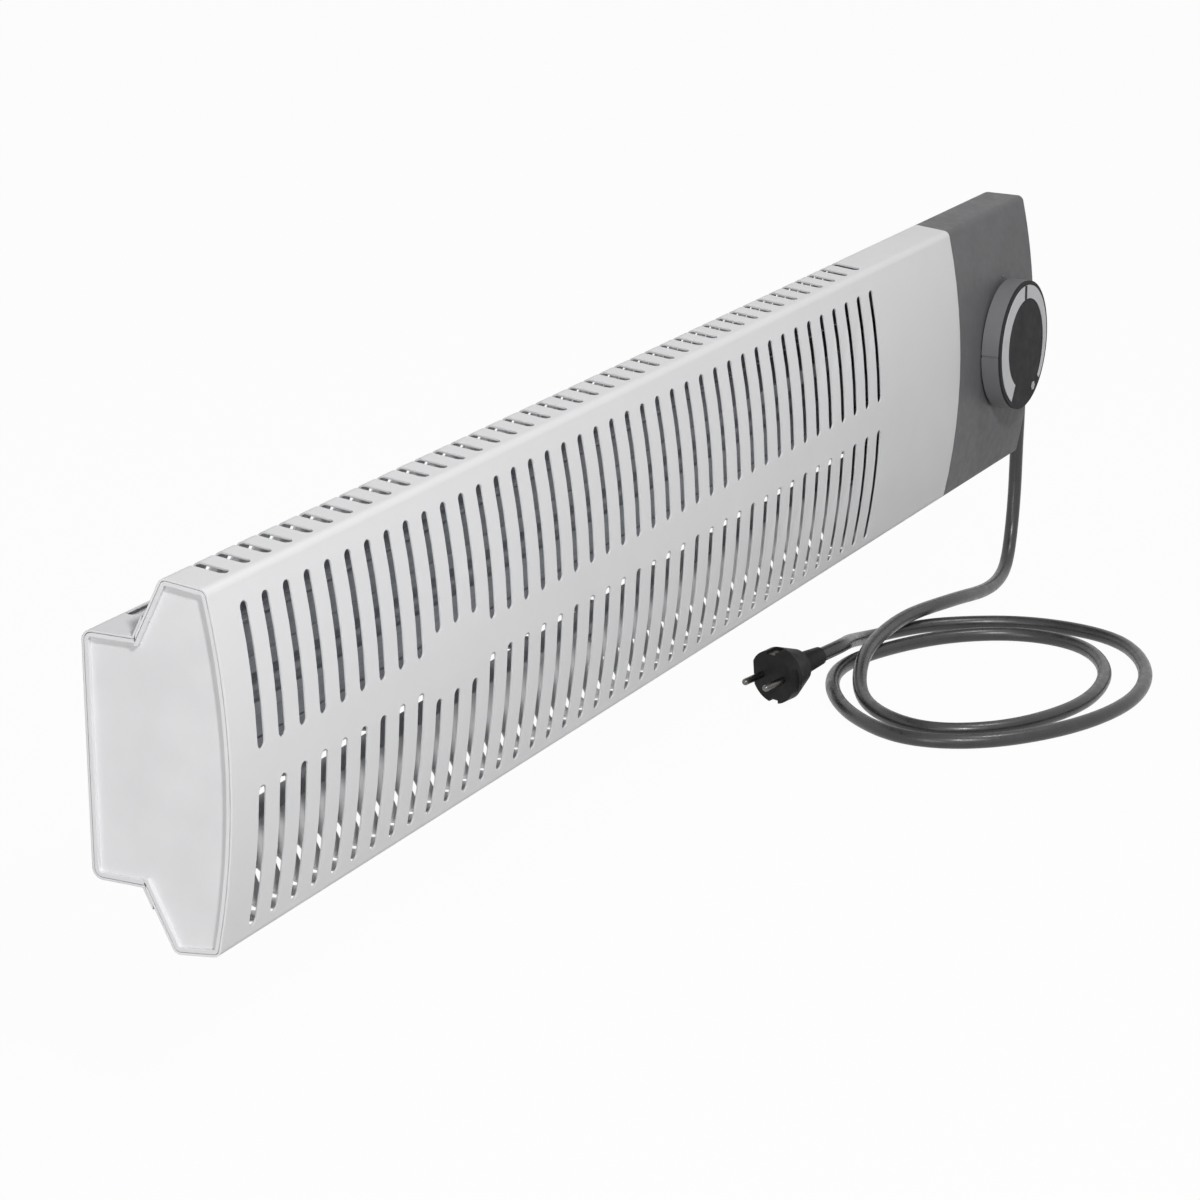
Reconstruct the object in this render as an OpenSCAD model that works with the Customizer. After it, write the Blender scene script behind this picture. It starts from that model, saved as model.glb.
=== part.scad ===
// Frost protection heater, hung on a wall rail, with a turning thermostat knob and a mains lead.
// Millimetres. The wall is the plane Y = 0, +X runs to the control end, +Z is up,
// and the slotted front looks along -Y.
// The pieces are drawn in the casing's own frame: X from the left end, Y from the front
// corner line towards the wall, Z from mid-height. placed() carries that to the part's frame.

/* [Casing] */
// Overall length without the lead
body_l = 1094; // [900:1:1300]
// Length of the control end, past the slotted cover
control_l = 142; // [136:1:180]
// Height over the top and bottom rear corners
body_h = 199; // [188:1:220]
// Height over the front corners
front_h = 193; // [184:1:196]
// Rise of the bowed front in front of its corners
arc_rise = 11; // [8:0.5:14]
// Depth of the top from its front corner to its rear corner
top_d = 26.5; // [22:0.5:30]
// Depth of the slope between the top and the rear box
slope_d = 17.5; // [14:0.5:20]
// Height of the rear box
box_h = 133; // [120:1:144]
// Depth from the front corners to the back of the rear box
body_d = 75; // [70:0.5:84]
// Sheet steel of the cover and the rear casing
sheet_t = 1.2; // [0.8:0.1:1.5]
// Outer radius of the bends along the front corners
front_bend_r = 5; // [4:0.5:8]
// Outer radius of the bends along the rear corners of the top and bottom
rear_bend_r = 5; // [4:0.5:6]
// Outer radius of the rear box's corners
box_bend_r = 5; // [4.5:0.5:7]

/* [Air slots] */
// Distance from one slot to the next
slot_pitch = 20; // [18:0.5:21]
// Centre of the first slot from the left end
slot_x0 = 28.2; // [26:0.1:42]
// Least plain length of the cover past the middle of its last slot
slot_end = 140; // [40:1:200]
// Width of a slot
slot_w = 7; // [4:0.5:9]
// Height of the upper slots
upper_slot_h = 76; // [60:1:78]
// Height of the lower slots
lower_slot_h = 77; // [60:1:78]
// Plain band between the two rows of slots
slot_band = 19.4; // [16:0.1:24]
// How far the middle of that band lies below mid-height
slot_band_drop = 2.1; // [0:0.1:4]
// First column of the bare patch at the band
patch_first = 9; // [2:1:12]
// Columns of slots that are shorter at the bare patch
patch_n = 3; // [0:1:6]
// How much shorter each slot is there
patch_cut = 9; // [2:0.5:16]
// Front end of the slots in the top and bottom, from the front corner
top_slot_y = 5.6; // [4:0.1:9]
// Length of the slots in the top and bottom, over the rear bend
top_slot_l = 28.4; // [20:0.1:30]
// Length of a vent in the rear box
vent_l = 60; // [40:1:70]
// Width of a vent in the rear box
vent_w = 7; // [4:0.5:9]
// Distance from one vent to the next
vent_pitch = 84; // [76:1:110]
// Least plain length of the rear box past each end of the row of vents
vent_end = 10; // [10:1:60]

/* [Left end cap] */
// Width of the cap's raised rim
rim_w = 2.2; // [1.8:0.1:4]
// Depth of the cap's face behind its rim
cap_recess = 2.4; // [0.6:0.1:4]
// Wall of the cap's face
cap_t = 2.5; // [1.5:0.1:4]
// Depth of the cap's skirt
cap_skirt = 16; // [12:0.5:20]

/* [Control housing] */
// Wall of the moulded control housing
housing_t = 2.5; // [2:0.1:3.5]
// How far the control end falls back between the front and the top's rear corner
end_taper = 10; // [6:0.5:14]
// Distance behind the front corners where that taper begins
taper_y = 3; // [0:0.5:6]
// Thickness of the partition between the heating and control spaces
bulkhead_t = 1.2; // [0.8:0.1:2]
// Width of the partition's flange
bulkhead_flange = 14; // [10:0.5:16]
// Distance of the partition behind the cover's edge
bulkhead_set = 6; // [3:0.5:10]

/* [Knob] */
// Distance of the knob's axis from the control end
knob_end = 57; // [54:1:68]
// Diameter of the knob at its foot
knob_d = 94; // [70:0.5:100]
// Diameter of the knob at its face
knob_face_d = 93; // [68:0.5:99]
// Gap between the knob and the panel
knob_gap = 0.8; // [0.5:0.1:2]
// Height of the knob from its foot to its face
knob_h = 14.2; // [13:0.1:20]
// Wall of the knob
knob_t = 2.2; // [1.5:0.1:3]
// Thickness of the dark face disc
face_t = 1.6; // [1:0.1:2.5]
// Outer diameter of the scale on the face
scale_d = 87; // [60:0.5:87]
// Broad end of the scale
scale_wide = 12.7; // [8:0.1:16]
// Narrow end of the scale
scale_thin = 3.2; // [1.5:0.1:5]
// Height of the scale's inlay above the face
scale_t = 0.5; // [0.3:0.1:1]
// Direction of the narrow end, seen from the front
scale_a0 = -45; // [-60:1:-30]
// Direction of the broad end, seen from the front
scale_a1 = 238; // [220:1:250]
// Direction of the frost mark, seen from the front
frost_a = -60; // [-75:1:-55]
// Size of the frost mark
frost_d = 6.4; // [4:0.1:8]

/* [Thermostat] */
// Diameter of the thermostat's spindle
spindle_d = 6; // [5:0.1:8]
// Running clearance on the radius of the spindle
run_gap = 0.05; // [0.02:0.01:0.08]
// Diameter of the threaded bush
bush_d = 10; // [9:0.1:12]
// Width of the thermostat's case
stat_w = 44; // [36:1:50]
// Height of the thermostat's case
stat_h = 38; // [30:1:44]
// Depth of the thermostat's case
stat_d = 28; // [20:1:32]
// Diameter of the sensor bulb
bulb_d = 6.4; // [5:0.1:8]
// Length of the sensor bulb
bulb_l = 80; // [60:1:110]
// Diameter of the capillary tube
capillary_d = 1.8; // [1.5:0.1:2.5]

/* [Heating element] */
// Length of the cover past the finned element
element_end = 44; // [42:0.5:120]
// Start of the finned element from the left end
element_x = 48; // [46:0.5:62]
// Distance of the element's axis behind the front corners
element_y = 38; // [34:0.5:40]
// Height of the element's axis above mid-height
element_z = 12; // [0:0.5:14]
// Diameter of the heating rod
rod_d = 8.4; // [6.5:0.1:10]
// Outer diameter of the element's hub
hub_d = 16; // [13:0.5:18]
// Reach of the wings forward and back
wing_y = 18; // [14:0.5:19]
// Reach of the wings up and down
wing_z = 27; // [20:0.5:30]
// Thickness of the wings
wing_t = 1.6; // [1:0.1:2.5]
// Height of the lip at each wing's tip
wing_lip = 9; // [5:0.5:12]
// Diameter of the ceramic end insulators
insulator_d = 17; // [14:0.5:20]
// Length of the ceramic end insulators
insulator_l = 16; // [12:0.5:20]

/* [Wall rail] */
// Space between the wall and the rear casing
wall_gap = 10; // [8:0.5:20]
// Length of the wall rail past each wall screw
rail_end = 20; // [12:1:60]
// Height of the wall rail
rail_h = 36; // [30:1:44]
// Steel of the wall rail
rail_t = 1.5; // [1:0.1:2]
// Distance between the two wall screws
wall_screw_pitch = 600; // [400:5:800]
// Diameter of the holes for the wall screws
wall_hole_d = 5.5; // [4:0.1:7]
// Distance of each hook inside its wall screw
hook_set = 50; // [30:1:120]
// Width of a hook
hook_w = 22; // [16:1:30]
// Height of a hook's upturned lip
hook_lip = 9; // [6:0.5:12]

/* [Mains lead] */
// Diameter of the lead
cord_d = 10; // [8:0.1:11]
// Distance of the lead's outlet behind the front corners
outlet_y = 22; // [18:0.5:24]
// Distance of the lead's outlet below mid-height
outlet_drop = 40; // [36:1:60]
// Length of the tapered strain relief outside the housing
relief_l = 24; // [20:0.5:30]
// Diameter of the plug's face
plug_d = 38; // [36:0.5:39]
// Length of the plug's moulded body
plug_l = 27; // [24:0.5:32]
// Diameter of a plug pin
pin_d = 4.8; // [4:0.1:5]
// Length of a plug pin
pin_l = 19; // [17:0.5:20]
// Distance between the two plug pins
pin_pitch = 19; // [18:0.5:20]
// Length of the plug's tapered sleeve
sleeve_l = 22; // [20:0.5:24]

/* [Hidden] */
// Fineness of the round surfaces
$fn = 64;
arc_fn = 256;
fine_fn = 48;
ball_fn = 24;

// Overrun of every cut past the face that it opens
over = 1;
// Gap between pieces that slide together when they are put together
seat_gap = 0.3;
// Gap that keeps two flat sheets face to face without touching
sheet_gap = 0.05;
// How far each bend's arc stands past its tangents, so that it crosses the outline cleanly
bend_skim = 0.006;

// Lengths that follow the casing's
cover_l = body_l - control_l;
slot_n = floor((cover_l - slot_x0 - slot_end) / slot_pitch) + 1;
element_l = cover_l - element_x - element_end;
knob_x = body_l - knob_end;
rail_l = wall_screw_pitch + 2 * rail_end;
hook_pitch = wall_screw_pitch - 2 * hook_set;

// Corners of the sheet line: outside of the cover, inside of the rear casing
half_h = body_h / 2;
half_front = front_h / 2;
half_box = box_h / 2 - sheet_t;
joint_y = top_d + slope_d;
back_y = body_d - sheet_t;
arc_r = (half_front * half_front + arc_rise * arc_rise) / (2 * arc_rise);
arc_c = [arc_r - arc_rise, 0];
top_lean = (half_h - half_front) / top_d;
nose_y = -2 * arc_rise;
far = 2 * body_h;

core = [
    [nose_y, -half_front - top_lean * nose_y],
    [top_d, -half_h],
    [joint_y, -half_box],
    [back_y, -half_box],
    [back_y, half_box],
    [joint_y, half_box],
    [top_d, half_h],
    [nose_y, half_front + top_lean * nose_y]
];

function unit(v) = v / norm(v);
function outward(a, b) = let (u = unit(b - a)) [u[1], -u[0]];
function meet(p, u, q, v) = p + u * (cross(q - p, v) / cross(u, v));
function at(list, i) = list[(i + len(list)) % len(list)];

// The outline moved out by d, edge by edge
function moved(list, d) = [
    for (i = [0 : len(list) - 1])
        let (a = at(list, i - 1), b = list[i], c = at(list, i + 1))
            meet(b + outward(a, b) * d, b - a, b + outward(b, c) * d, c - b)
];

// Centre of a bend of radius r inside corner i of the outline
function bend_centre(i, r) = moved(core, -r)[i];

// Centre of the bend between the bowed front and the top
top_n = outward(core[6], core[7]);
top_u = unit(core[7] - core[6]);
top_in = core[6] - top_n * front_bend_r;
top_s = let (
    w = top_in - arc_c,
    b = w * top_u,
    k = w * w - (arc_r - front_bend_r) * (arc_r - front_bend_r)
) -b + sqrt(b * b - k);
nose_c = top_in + top_u * top_s;
nose_n = unit(nose_c - arc_c);

slope_len = norm([slope_d, half_h - half_box]);
slope_n = outward(core[5], core[6]);
slope_tilt = atan2(slope_n[0], slope_n[1]);
// Share of the slope, from the rear box upwards, that the rear casing's flange covers
flange_share = 0.28;
flange_y = joint_y - slope_d * flange_share;
flange_end_y = joint_y - sheet_t;

end_fall = end_taper / (top_d - taper_y);
box_end = body_l - end_fall * (joint_y - taper_y);
wall_y = body_d + wall_gap;

band_z = -slot_band_drop;
upper_z = band_z + slot_band / 2;
lower_z = band_z - slot_band / 2;

bulkhead_x = cover_l + bulkhead_set;
bulkhead_in = housing_t + seat_gap;

knob_foot_y = -arc_rise - knob_gap;
knob_front_y = knob_foot_y - knob_h;
face_back_y = knob_front_y + face_t;
scale_r = scale_d / 2;
tick_w = 1.8;
frost_r = 39.7;

boss_r = 14;
panel_in_y = -arc_rise + housing_t;
stat_front_y = -3.5;
stat_back_y = stat_front_y + stat_d;
nut_t = 2.5;
nut_d = 16;
spot_d = 19;
spot_t = 0.7;
nut_y = -arc_rise + spot_t - nut_t;
hub_r = 7;
hub_gap = 2;
hub_foot_y = nut_y - hub_gap;
spindle_tip_y = face_back_y + face_t / 2;
spindle_root_y = stat_front_y + stat_d / 4;
spindle_well_y = spindle_root_y + seat_gap;
clip_t = 1;
clip_w = 3;

screw_d = 3.6;
screw_head_d = 7;
screw_head_h = 2.2;
screw_hole_d = 3.8;
screw_l = 8;
cross_w = 1;
cross_d = 1.2;
rivet_d = 3.2;
rivet_head_d = 6;
rivet_head_h = 1.2;
rivet_hole_d = 3.3;

bracket_t = 1.5;
bracket_h = 30;
foot_l = 16;
insulator_gap = 4;
left_ins_x = element_x - insulator_gap - insulator_l;
right_ins_x = element_x + element_l + insulator_gap;
rod_x0 = left_ins_x - 3 * bracket_t;
rod_x1 = right_ins_x + insulator_l + insulator_gap;
stud_r = 2;
stud_l = 8;

reflector_t = 0.8;
reflector_web_y = element_y + wing_y + insulator_gap;
reflector_half = 36;
reflector_foot = 10;
reflector_end = 14;
reflector_x0 = element_x + reflector_end;
reflector_x1 = element_x + element_l - reflector_end;
reflector_splay = back_y - reflector_web_y;

hook_z = rail_h / 2;
hook_slot_h = hook_lip + 3 * rail_t;
hook_reach_y = back_y - 2 * rail_t;
spacer_r = 8;
spacer_z = -half_box + 3 * box_bend_r;
spacer_x_share = 0.16;

outlet_z = -outlet_drop;
gland_r = 8;
gland_hole_r = 8.2;
gland_flange_r = 11.5;
gland_flange_t = 2;
gland_boss_r = 13;
relief_r0 = 8.5;
relief_wall = 1.4;
relief_r1 = cord_d / 2 + relief_wall;
gland_nut_t = 2.5;
gland_boss_x = body_l - end_fall * (outlet_y + gland_boss_r - taper_y) - housing_t;
gland_in_x = gland_boss_x - gland_nut_t - sheet_t;
relief_x = body_l + gland_flange_t;
relief_tip_x = relief_x + relief_l;

block_set = 22;
block_l = 42;
block_h = 18;
block_d = 16;
block_pole_n = 3;
block_x = bulkhead_x + block_set;
block_z = -34;
pole_r = 2.6;
pole_end_share = 0.25;
pole_pitch = block_l / (block_pole_n + 2 * pole_end_share);
wire_d = 2.6;
clamp_set = 16;
clamp_x = gland_in_x - clamp_set;
clamp_w = 12;
clamp_half_w = cord_d + screw_head_d / 2 + over;
clamp_y = outlet_y - clamp_half_w;
clamp_screw_y = [outlet_y - cord_d, outlet_y + cord_d];
clamp_base_z = outlet_z - cord_d / 2 - 2 * housing_t;
clamp_top_z = outlet_z + cord_d / 2 + housing_t;
clamp_post_h = 3 * housing_t;
post_y = -arc_rise + clamp_base_z * clamp_base_z / (2 * arc_r) + housing_t / 2;
tail_l = 14;
tail_x0 = clamp_x - tail_l;
earth_set = 16;
earth_x = bulkhead_x + earth_set;
earth_z = 20;
cutout_d = 17;
cutout_t = 9;
cutout_y = 22;
cutout_z = 52;
bulb_y = 20;
bulb_z = -66;
bulb_neck_l = 14;
bulb_x1 = bulkhead_x + bulb_neck_l;
bulb_x0 = bulb_x1 - bulb_l;
grommet_r = 5.5;
grommet_t = 5;

// The lead's route in the part's frame, from the strain relief to the plug
loop_drop = 200;
cord_floor = -loop_drop - cord_d / 2;
cord_route = [
    [573, -63, -40], [576, -63, -40], [588, -63, -42], [599, -63, -48], [607, -62, -58],
    [612, -62, -73], [612, -61, -106], [610, -61, -148], [601, -62, -181], [577, -67, -199],
    [530, -72, -200], [468, -71, -191], [405, -61, -187], [354, -60, -188], [307, -67, -191],
    [262, -85, -199], [227, -116, -200], [213, -159, -200], [244, -204, -200], [308, -229, -200],
    [377, -221, -200], [427, -186, -200], [436, -137, -200], [408, -91, -200], [356, -60, -200],
    [306, -50, -200], [258, -66, -200], [214, -102, -200], [190, -150, -200], [208, -200, -200],
    [263, -241, -200], [331, -257, -200], [400, -242, -200], [454, -199, -200], [463, -132, -200],
    [430, -71, -200], [380, -42, -199], [332, -46, -188], [297, -55, -180], [275, -48, -182]
];
cord_sides = 10;
plug_tip = cord_route[len(cord_route) - 1];
plug_axis = unit(plug_tip - cord_route[len(cord_route) - 2]);
plug_turn = -atan2(plug_axis[1], -plug_axis[0]);
plug_tilt = asin(plug_axis[2]);
plug_body_x = -sleeve_l;
plug_face_x = plug_body_x - plug_l;
plug_rim_l = 10;
plug_neck_d = 24;
plug_flat = 34;
groove_w = 8;
groove_d = 3;
clip_strip_w = 6;
clip_strip_t = 0.8;

// Carries the casing's frame to the part's frame
module placed() {
    translate([-body_l / 2, -wall_y, 0]) children();
}

// An outline in Y and Z, drawn out along X
module along_x(x0, x1) {
    translate([x0, 0, 0]) rotate([90, 0, 90]) linear_extrude(height = x1 - x0) children();
}

// A plan in X and Y, drawn out over the full height
module along_z() {
    translate([0, 0, -far]) linear_extrude(height = 2 * far) children();
}

// Round bar along X, Y or Z from a point
module bar_x(p, l, r) {
    translate(p) rotate([0, 90, 0]) cylinder(h = l, r = r);
}
module bar_y(p, l, r) {
    translate(p) rotate([-90, 0, 0]) cylinder(h = l, r = r);
}

// What a bend of radius r about c takes off the corner between two faces
module bend_cut(c, n1, n2, r) {
    t1 = c + n1 * r;
    t2 = c + n2 * r;
    tip = c + (n1 + n2) * (r / (1 + n1 * n2));
    difference() {
        polygon([c, t1, t1 + n1 * over, tip + (n1 + n2) * over, t2 + n2 * over, t2]);
        translate(c) circle(r = r + bend_skim, $fn = fine_fn);
    }
}

// The bends along the upper half of the outline moved out by d
module upper_bends(d) {
    box_n = outward(core[4], core[5]);
    rear_n = outward(core[3], core[4]);
    bend_cut(nose_c, top_n, nose_n, front_bend_r + d);
    bend_cut(bend_centre(6, rear_bend_r), slope_n, top_n, rear_bend_r + d);
    bend_cut(bend_centre(4, box_bend_r), rear_n, box_n, box_bend_r + d);
}

// The casing's outline moved out by d
module section(d) {
    difference() {
        intersection() {
            polygon(moved(core, d));
            translate(arc_c) circle(r = arc_r + d, $fn = arc_fn);
        }
        upper_bends(d);
        mirror([0, 1]) upper_bends(d);
    }
}

// All of an outline in front of, or behind, a distance from the front corners
module front_of(y) {
    intersection() {
        children();
        translate([-far, -far]) square([far + y, 2 * far]);
    }
}
module behind(y) {
    intersection() {
        children();
        translate([y, -far]) square([far, 2 * far]);
    }
}

// A slot with round ends, from y0 to y1
module slot(w, y0, y1) {
    translate([-w / 2, y0 + w / 2]) square([w, y1 - y0 - w]);
    translate([0, y0 + w / 2]) circle(d = w, $fn = ball_fn);
    translate([0, y1 - w / 2]) circle(d = w, $fn = ball_fn);
}

function in_patch(i) = i >= patch_first && i < patch_first + patch_n;
function patch_at(i) = in_patch(i) ? patch_cut : 0;

module front_slots() {
    rotate([90, 0, 0]) linear_extrude(height = far) {
        for (i = [0 : slot_n - 1]) translate([slot_x0 + i * slot_pitch, 0]) {
            slot(slot_w, upper_z + patch_at(i), upper_z + upper_slot_h);
            slot(slot_w, lower_z - lower_slot_h, lower_z - patch_at(i));
        }
    }
}

module top_slots() {
    translate([0, 0, half_box + sheet_t]) linear_extrude(height = half_h) {
        for (i = [0 : slot_n - 1]) translate([slot_x0 + i * slot_pitch, 0])
            slot(slot_w, top_slot_y, top_slot_y + top_slot_l);
    }
}

// Places for screws through the flanges on the two slopes
seam_y = (flange_y + flange_end_y) / 2;
seam_z = half_h - (seam_y - top_d) * (half_h - half_box) / slope_d;
cover_screw_shares = [0.08, 0.5, 0.92];
cover_screw_x = [for (s = cover_screw_shares) cover_l * s];
housing_screw_x = [bulkhead_x + 2 * screw_head_d, box_end - 2 * screw_head_d];

module on_slopes(places) {
    for (x = places) for (side = [0, 1])
        mirror([0, 0, side]) translate([x, seam_y, seam_z]) rotate([-slope_tilt, 0, 0]) children();
}

module seam_holes(places) {
    on_slopes(places) translate([0, 0, -screw_l]) cylinder(h = 2 * screw_l, d = screw_hole_d);
}

// A pan-head screw that stands on its head's seat and points down
module screw() {
    translate([0, 0, -screw_l]) cylinder(h = screw_l, d = screw_d);
    difference() {
        cylinder(h = screw_head_h, d1 = screw_head_d, d2 = screw_head_d - cross_w);
        for (a = [0, 90]) rotate([0, 0, a])
            translate([-screw_d / 2, -cross_w / 2, screw_head_h - cross_d])
                cube([screw_d, cross_w, cross_d + over]);
    }
}

module front_cover() {
    color([0.88, 0.88, 0.89]) placed() difference() {
        along_x(0, cover_l) front_of(flange_end_y) difference() {
            section(0);
            section(-sheet_t);
        }
        front_slots();
        top_slots();
        mirror([0, 0, 1]) top_slots();
        seam_holes(cover_screw_x);
    }
}

vent_share = 0.72;
vent_y = joint_y + (body_d - joint_y) * vent_share;
vent_set = 20;
vent_x0 = vent_end + vent_set;
vent_n = floor((cover_l - vent_x0 - vent_l - vent_end) / vent_pitch) + 1;

module rear_vents() {
    translate([0, 0, -half_h]) linear_extrude(height = 2 * half_h)
        for (i = [0 : vent_n - 1]) translate([vent_x0 + i * vent_pitch, vent_y])
            rotate([0, 0, -90]) slot(vent_w, 0, vent_l);
}

hook_x = [body_l / 2 - hook_pitch / 2, body_l / 2 + hook_pitch / 2];
hook_slot_w = hook_w + 4 * seat_gap;

module rear_holes(x, z, d) {
    bar_y([x, back_y - over, z], sheet_t + 2 * over, d / 2);
}

bracket_x = [left_ins_x + insulator_l / 2, right_ins_x + insulator_l / 2];
bracket_side = [1, -1];
rivet_z = [element_z - bracket_h / 3, element_z + bracket_h / 3];
rivet_foot_share = 0.6;
function rivet_x(i) = bracket_x[i] + bracket_side[i] * foot_l * rivet_foot_share;
reflector_rivet_shares = [0.04, 0.5, 0.96];
reflector_rivet_x = [for (s = reflector_rivet_shares)
    reflector_x0 + (reflector_x1 - reflector_x0) * s];
reflector_foot_z = reflector_half + reflector_splay + reflector_foot / 2;
cap_screw_z = half_box / 2;
cap_screw_share = 0.6;
cap_screw_x = cap_skirt * cap_screw_share;

module rear_casing() {
    color([0.84, 0.84, 0.85]) placed() difference() {
        along_x(0, box_end - housing_t) behind(flange_y) difference() {
            section(sheet_t);
            section(sheet_gap);
        }
        rear_vents();
        for (x = hook_x)
            translate([x - hook_slot_w / 2, back_y - over, hook_z - hook_slot_h])
                cube([hook_slot_w, sheet_t + 2 * over, hook_slot_h]);
        seam_holes(cover_screw_x);
        seam_holes(housing_screw_x);
        for (i = [0, 1]) for (z = rivet_z) rear_holes(rivet_x(i), z, rivet_hole_d);
        for (x = reflector_rivet_x) for (s = [-1, 1])
            rear_holes(x, s * reflector_foot_z, rivet_hole_d);
        for (s = [-1, 1]) rear_holes(cap_screw_x, s * cap_screw_z, screw_hole_d);
        rear_holes(earth_x, earth_z, rivet_hole_d);
    }
}

cap_in = sheet_t + seat_gap;

// Outline of the cap's rim: inside the cover in front, inside the rear casing behind
module cap_outline(d) {
    section(-cap_in - d);
    behind(joint_y) section(-seat_gap - d);
}

module left_end_cap() {
    color([0.82, 0.82, 0.83]) placed() difference() {
        along_x(0, cap_skirt) cap_outline(0);
        along_x(-over, cap_recess) cap_outline(rim_w);
        along_x(cap_recess + cap_t, cap_skirt + over) cap_outline(rim_w);
        for (s = [-1, 1])
            bar_y([cap_screw_x, back_y - 2 * rim_w, s * cap_screw_z], 2 * rim_w, screw_d / 2);
    }
}

module cap_screws_at() {
    for (s = [-1, 1]) translate([cap_screw_x, body_d, s * cap_screw_z])
        rotate([-90, 0, 0]) children();
}

module end_cap_screws() {
    color([0.6, 0.6, 0.62]) placed() cap_screws_at() {
        translate([0, 0, -rim_w]) cylinder(h = rim_w, d = screw_d - 2 * run_gap);
        cylinder(h = screw_head_h, d1 = screw_head_d, d2 = screw_head_d - cross_w);
    }
}

// Plan of the control end, moved back by d
module end_plan(d) {
    polygon([
        [cover_l, -far], [body_l - d, -far], [body_l - d, taper_y],
        [box_end - d, joint_y], [box_end - d, far], [cover_l, far]
    ]);
}

module control_housing() {
    color([0.4, 0.4, 0.41]) placed() difference() {
        union() {
            // Front, top, bottom and slopes
            intersection() {
                along_x(cover_l, body_l) front_of(flange_end_y) difference() {
                    section(0);
                    section(-housing_t);
                }
                along_z() end_plan(0);
            }
            // End wall, which also closes the rear box
            intersection() {
                along_x(cover_l, body_l) {
                    section(0);
                    behind(flange_y) section(sheet_t);
                }
                along_z() difference() {
                    end_plan(0);
                    end_plan(housing_t);
                }
            }
            // Boss behind the knob for the thermostat's bush
            bar_y([knob_x, panel_in_y - housing_t / 2, 0], stat_front_y - panel_in_y + housing_t / 2,
                boss_r);
            // Boss that squares the lead's outlet to the tapered end
            bar_x([gland_boss_x, outlet_y, outlet_z], body_l - gland_boss_x, gland_boss_r);
            // Post from the panel that carries the lead's clamp
            translate([clamp_x - clamp_w / 2, post_y, clamp_base_z])
                cube([clamp_w, clamp_y - post_y, clamp_post_h]);
        }
        bar_y([knob_x, -2 * arc_rise, 0], stat_front_y + 2 * arc_rise + over, bush_d / 2 + run_gap);
        bar_y([knob_x, -2 * arc_rise, 0], arc_rise + spot_t, spot_d / 2);
        bar_x([gland_in_x, outlet_y, outlet_z], body_l - gland_in_x + over, gland_hole_r);
        seam_holes(housing_screw_x);
        translate([knob_x - index_w / 2, index_y0 - 2 * housing_t, index_z - index_h / 2])
            cube([index_w, 2 * housing_t, index_h]);
    }
}

index_w = 3;
index_h = 1.4;
index_gap = 1.3;
index_z = knob_d / 2 + index_gap + index_h / 2;
index_y0 = -arc_rise + index_z * index_z / (2 * arc_r) + housing_t / 2;
index_proud = 1;
index_depth = housing_t / 2 + index_proud;

// Fixed pointer over the knob
module dial_index() {
    color([0.42, 0.42, 0.43]) placed()
        translate([knob_x - index_w / 2 + run_gap, index_y0 - index_depth, index_z - index_h / 2 + run_gap])
            cube([index_w - 2 * run_gap, index_depth, index_h - 2 * run_gap]);
}

module bulkhead() {
    color([0.62, 0.63, 0.64]) placed() difference() {
        union() {
            along_x(bulkhead_x, bulkhead_x + bulkhead_t) section(-bulkhead_in);
            along_x(bulkhead_x - bulkhead_flange, bulkhead_x + bulkhead_t) difference() {
                section(-bulkhead_in);
                section(-bulkhead_in - bulkhead_t);
            }
        }
        bar_x([bulkhead_x - over, bulb_y, bulb_z], bulkhead_t + 2 * over, grommet_r);
        bar_x([bulkhead_x - over, element_y, element_z], bulkhead_t + 2 * over, insulator_d / 2);
        bar_x([bulkhead_x - over, cutout_y, cutout_z], bulkhead_t + 2 * over, cutout_d / 3);
        for (s = [-1, 1])
            bar_x([bulkhead_x - over, cutout_y, cutout_z + s * cutout_d * cutout_ear_share],
                bulkhead_t + 2 * over, rivet_hole_d / 2);
    }
}

module cover_screws() {
    color([0.6, 0.6, 0.62]) placed()
        on_slopes(cover_screw_x) translate([0, 0, sheet_t]) screw();
}

module housing_screws() {
    color([0.6, 0.6, 0.62]) placed()
        on_slopes(housing_screw_x) translate([0, 0, sheet_t]) screw();
}

module at_knob(y) {
    translate([knob_x, y, 0]) rotate([90, 0, 0]) children();
}

grip_w = 1.6;
grip_deep = 1;

module knob_body() {
    color([0.42, 0.42, 0.43]) placed() difference() {
        union() {
            at_knob(knob_foot_y) difference() {
                cylinder(h = knob_h - face_t, d1 = knob_d, d2 = knob_face_d, $fn = arc_fn);
                translate([0, 0, -over])
                    cylinder(h = knob_h - face_t - knob_t + over, d = knob_face_d - 2 * knob_t);
            }
            at_knob(hub_foot_y) cylinder(h = hub_foot_y - face_back_y, r = hub_r);
        }
        at_knob(hub_foot_y + over)
            cylinder(h = hub_foot_y - spindle_tip_y + over, r = spindle_d / 2 + run_gap);
        translate([knob_x - knob_d / 2 - over, knob_front_y, -grip_w / 2])
            cube([over + grip_deep, knob_h + over, grip_w]);
    }
}

module knob_face() {
    color([0.22, 0.22, 0.23]) placed() at_knob(face_back_y)
        cylinder(h = face_t, d = knob_face_d, $fn = arc_fn);
}

// Inner edge of the scale, which narrows from the broad end to the thin end
function scale_in(t) = scale_r - scale_wide + (scale_wide - scale_thin) * t * t;
scale_steps = 60;

module scale_ring() {
    span = scale_a1 - scale_a0;
    outer = [for (i = [0 : scale_steps]) let (a = scale_a0 + span * i / scale_steps)
        scale_r * [cos(a), sin(a)]];
    inner = [for (i = [scale_steps : -1 : 0]) let (a = scale_a0 + span * i / scale_steps)
        scale_in(1 - i / scale_steps) * [cos(a), sin(a)]];
    color([0.7, 0.7, 0.71]) placed() at_knob(knob_front_y) linear_extrude(height = scale_t)
        difference() {
            polygon(concat(outer, inner));
            translate([-tick_w / 2, 0]) square([tick_w, scale_d]);
        }
}

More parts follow.
